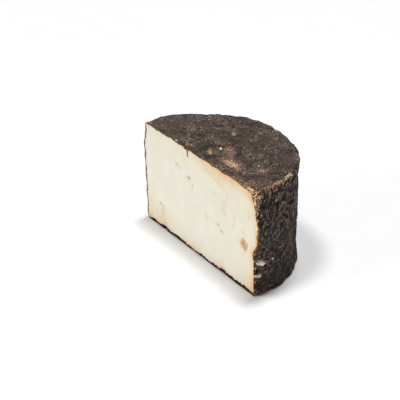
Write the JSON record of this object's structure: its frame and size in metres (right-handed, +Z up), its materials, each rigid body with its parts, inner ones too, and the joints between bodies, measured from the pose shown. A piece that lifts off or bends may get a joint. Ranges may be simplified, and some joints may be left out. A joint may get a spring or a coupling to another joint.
{
  "type": "half cheese wheel",
  "caption": "Half a wheel of farmhouse cheese standing on its base, with a dark wrinkled rind all round and a flat knife-cut face of cream paste.",
  "frame": {"origin": "middle of the base, on the surface that the cheese stands on", "axes": "+X along the cut, +Y from the cut face to the round back, +Z up the wheel's height"},
  "size_m": [0.198, 0.0974, 0.1103],
  "materials": {
    "cheese": "dry, finely wrinkled dark brown rind over smooth matt cream paste, which shows on the cut face"
  },
  "bodies": {
    "root": {"cheese_half_wheel": "cheese"}
  },
  "joints": []
}
